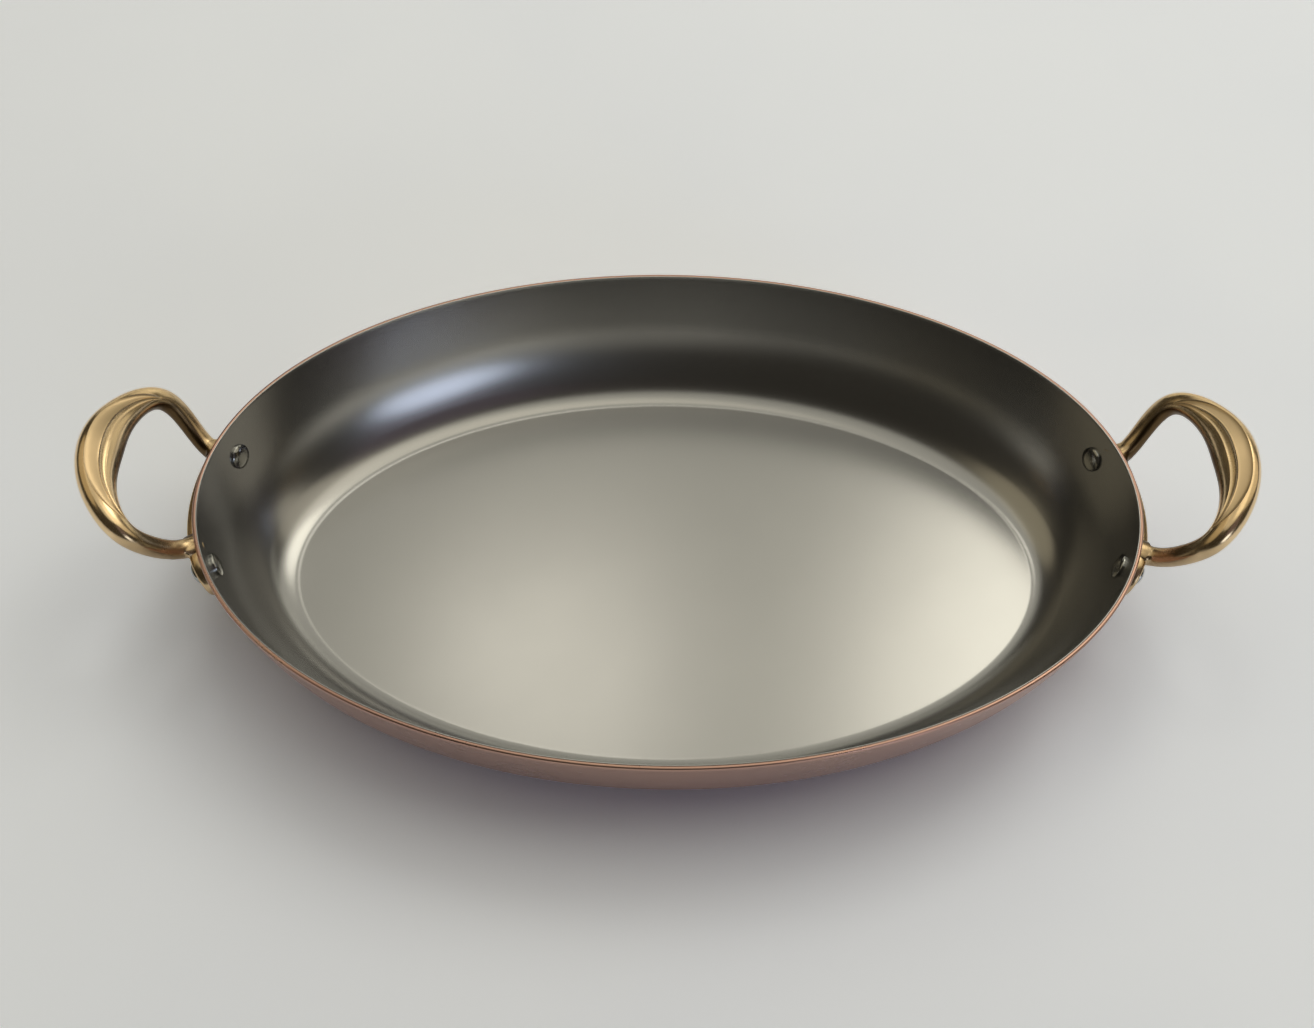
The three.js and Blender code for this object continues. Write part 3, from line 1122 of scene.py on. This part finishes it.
SATIN_STEEL = MetalFinish(
    name="satin steel",
    colour=(0.43, 0.43, 0.43, 1),
    drift=(0.41, 0.41, 0.41, 1),
    worn=(0.5, 0.5, 0.5, 1),
    roughness=0.235,
    roughness_spread=0.02,
    grain_scale=2200.0,
    grain_depth=0.003 * MM,
    drift_size=9.0,
    smudge_size=16.0,
    hairline_size=22.0,
    hairline_share=0.04,
    hairline_shine=0.003,
)
SATIN_COPPER = MetalFinish(
    name="satin copper",
    colour=(0.54, 0.34, 0.265, 1),
    drift=(0.49, 0.3, 0.245, 1),
    worn=(0.68, 0.48, 0.38, 1),
    roughness=0.27,
    roughness_spread=0.07,
    grain_scale=1100.0,
    grain_stretch=(0.25, 0.25, 1.6),
    grain_depth=0.003 * MM,
    drift_size=14.0,
    smudge_size=26.0,
    hairline_size=35.0,
    hairline_share=0.12,
    hairline_shine=0.02,
)
POLISHED_BRONZE = MetalFinish(
    name="polished bronze",
    colour=(0.86, 0.645, 0.385, 1),
    drift=(0.8, 0.585, 0.335, 1),
    worn=(0.9, 0.75, 0.5, 1),
    roughness=0.19,
    roughness_spread=0.06,
    grain_scale=1800.0,
    grain_depth=0.002 * MM,
    drift_size=60.0,
    smudge_size=90.0,
    hairline_size=110.0,
    satin_roughness=0.16,
    # The satin channels' colour is darkened as painted shade.
    satin_painted_shade=0.74,
    # A near black brown, painted as shade on the plate, the arms and the loop's inner and lower
    # faces.
    cast_skin_and_shade_colour=(0.11, 0.068, 0.03, 1),
    cast_roughness=0.1,
    wave_size=220.0,
    wave_depth=0.05 * MM,
)
RIVET_FINISH = MetalFinish(
    name="rivet steel",
    colour=(0.42, 0.42, 0.4, 1),
    drift=(0.36, 0.36, 0.35, 1),
    worn=(0.62, 0.62, 0.6, 1),
    roughness=0.13,
    roughness_spread=0.06,
    grain_scale=2000.0,
    grain_depth=0.004 * MM,
    drift_size=200.0,
    smudge_size=260.0,
    hairline_size=300.0,
    wave_size=420.0,
    wave_depth=0.12 * MM,
)


def dress(pieces: list[Piece], material: bpy.types.Material) -> None:
    """Gives pieces one material and logs how fine they are."""
    for piece in pieces:
        piece.data.materials.clear()
        piece.data.materials.append(material)
        log.info("%s: %d faces", piece.name, len(piece.data.polygons))


# Studio


@dataclass(frozen=True)
class Lamp:
    """A soft oval lamp that faces the pan from a direction.

    Azimuth is 0 at the back and grows to the right, elevation is above the table. They and the
    half angles that the lamp spans, seen from the pan, are in degrees. The glow is the brightness
    of its face.
    """

    name: str
    azimuth: float
    elevation: float
    half_width: float
    half_height: float
    glow: tuple[float, float, float]
    distance: float = 3.0

    def build(self) -> None:
        """Hangs the lamp."""
        azimuth, elevation = radians(self.azimuth), radians(self.elevation)
        level = cos(elevation)
        direction = Vector((sin(azimuth) * level, cos(azimuth) * level, sin(elevation)))
        clear_selection()
        bpy.ops.object.light_add(type="AREA", location=direction * self.distance)
        lamp = bpy.context.object
        lamp.name = self.name
        lamp.rotation_euler = direction.to_track_quat("Z", "Y").to_euler()
        lamp.visible_camera = False
        lamp.data.shape = "ELLIPSE"
        lamp.data.size = 2 * self.distance * tan(radians(self.half_width))
        lamp.data.size_y = 2 * self.distance * tan(radians(self.half_height))
        area = pi * lamp.data.size * lamp.data.size_y / 4
        strength = max(self.glow)
        lamp.data.energy = strength * area * pi
        lamp.data.color = [value / strength for value in self.glow]


LAMPS = (
    Lamp("left softbox", 352.2, 59.8, 6.1, 6.2, (1.41, 1.34, 1.14)),
    Lamp("right softbox", 40.8, 52.4, 11.7, 13.8, (1.87, 1.78, 1.5)),
    Lamp("rear ceiling bounce", 22.5, 66.3, 34.0, 45.0, (0.54, 0.52, 0.44)),
    Lamp("window", 144.7, 14.0, 12.6, 11.0, (1.65, 1.85, 2.25)),
    Lamp("window head", 137.8, 40.7, 17.2, 20.4, (0.08, 0.06, 0.08)),
    Lamp("right wall bounce", 81.4, 50.6, 17.5, 40.9, (0.61, 0.56, 0.44)),
    Lamp("left wall bounce", 283.3, 43.7, 26.3, 22.4, (0.41, 0.355, 0.235)),
    Lamp("rear wall bounce", 15.5, 14.0, 47.0, 11.7, (0.6, 0.58, 0.48)),
)


@dataclass(frozen=True)
class Viewpoint:
    """Where the camera stands: it looks at a point from an azimuth and elevation, and rolls."""

    target: tuple[float, float, float] = (-4.6 * MM, 5.7 * MM, 29 * MM)
    azimuth: float = radians(-2.2)
    elevation: float = radians(52.68)
    roll: float = radians(1.9)
    distance: float = 539.9 * MM
    focal_pixels: float = 1400.0
    image_width: float = 1314.0
    sensor: float = 36.0

    def build(self) -> None:
        """Sets up the camera."""
        turned = Matrix.Translation(self.target) @ Matrix.Rotation(self.azimuth, 4, "Z")
        turned = turned @ Matrix.Rotation(pi / 2 - self.elevation, 4, "X")
        turned = turned @ Matrix.Rotation(self.roll, 4, "Z")
        clear_selection()
        bpy.ops.object.camera_add()
        camera = bpy.context.object
        camera.name = "camera"
        camera.matrix_world = turned @ Matrix.Translation((0, 0, self.distance))
        camera.data.sensor_width = self.sensor
        camera.data.lens = self.focal_pixels / self.image_width * self.sensor
        camera.data.clip_start = 0.01
        bpy.context.scene.camera = camera


@dataclass(frozen=True)
class Studio:
    """The pale table, the soft lamps and the even light of the room."""

    table_size: float = 12.0
    table_colour: Colour = (0.75, 0.80, 0.92, 1)
    table_mottle: Colour = (0.72, 0.77, 0.90, 1)
    mottle_size: float = 5.0
    mottle_twist: float = 0.4
    mottle_limits: tuple[float, float] = (0.4, 0.8)
    table_lift: float = 0.72
    room: Colour = (1.0, 0.89, 0.69, 1)
    room_strength: float = 0.043

    def table(self) -> None:
        """Lays the table under the pan.

        It shows paler to the camera and in the metal than the light that it gives back, but not
        in light that has already scattered.
        """
        clear_selection()
        bpy.ops.mesh.primitive_plane_add(size=self.table_size)
        table = new_piece("table")
        material = bpy.data.materials.new("pale table")
        material.use_nodes = True
        graph = Graph(material.node_tree)
        where = graph.add("TexCoord").outputs["Object"]
        mottle = graph.noise(where, self.mottle_size, detail=5.0, twist=self.mottle_twist)
        mottle = graph.span(mottle, self.mottle_limits)
        colour = graph.mix(mottle, self.table_colour, self.table_mottle)
        path = graph.add("LightPath").outputs
        seen = graph.maths("MAXIMUM", path["Is Camera Ray"], path["Is Glossy Ray"])
        seen = graph.maths("MAXIMUM", seen, path["Is Transmission Ray"])
        unscattered = graph.maths("LESS_THAN", path["Diffuse Depth"], 0.5)
        seen = graph.maths("MULTIPLY", seen, unscattered)
        lift = graph.maths("MULTIPLY_ADD", seen, self.table_lift, 1.0)
        shown = graph.add("VectorMath", {0: colour, "Scale": lift}, operation="SCALE").outputs[0]
        shader = graph.add("BsdfDiffuse", {"Color": shown, "Roughness": 0.0})
        graph.add("OutputMaterial", {"Surface": shader.outputs[0]})
        table.data.materials.append(material)

    def build(self) -> None:
        """Sets up the table, the lamps and the world."""
        self.table()
        for lamp in LAMPS:
            lamp.build()
        world = bpy.data.worlds.new("room")
        bpy.context.scene.world = world
        world.use_nodes = True
        graph = Graph(world.node_tree)
        light = graph.add("Background", {"Color": self.room, "Strength": self.room_strength})
        graph.add("OutputWorld", {"Surface": light.outputs[0]})
        bpy.context.scene.view_settings.view_transform = "Standard"


def main() -> None:
    """Builds the pan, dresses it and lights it."""
    logging.basicConfig(level=logging.INFO, format="%(name)s: %(message)s")
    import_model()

    _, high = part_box("copper_body")
    section = PanSection(height=high.z)
    slack = -section.wall_run(section.height - RIM_CHAMFER, 0)
    oval = Oval(high.x + slack, high.y + slack)

    groups = EffectGroups(grain_group(), Marks().group())
    body = CopperBody(section, oval).build()
    dress([body], SATIN_COPPER.material(groups))
    dress([SteelLining(section, oval).build()], SATIN_STEEL.material(groups))
    dress(BronzeHandle(section, oval).build(body), POLISHED_BRONZE.material(groups))
    dress(Rivets(section, oval).build(), RIVET_FINISH.material(groups))

    Studio().build()
    Viewpoint().build()


if __name__ == "__main__":
    main()
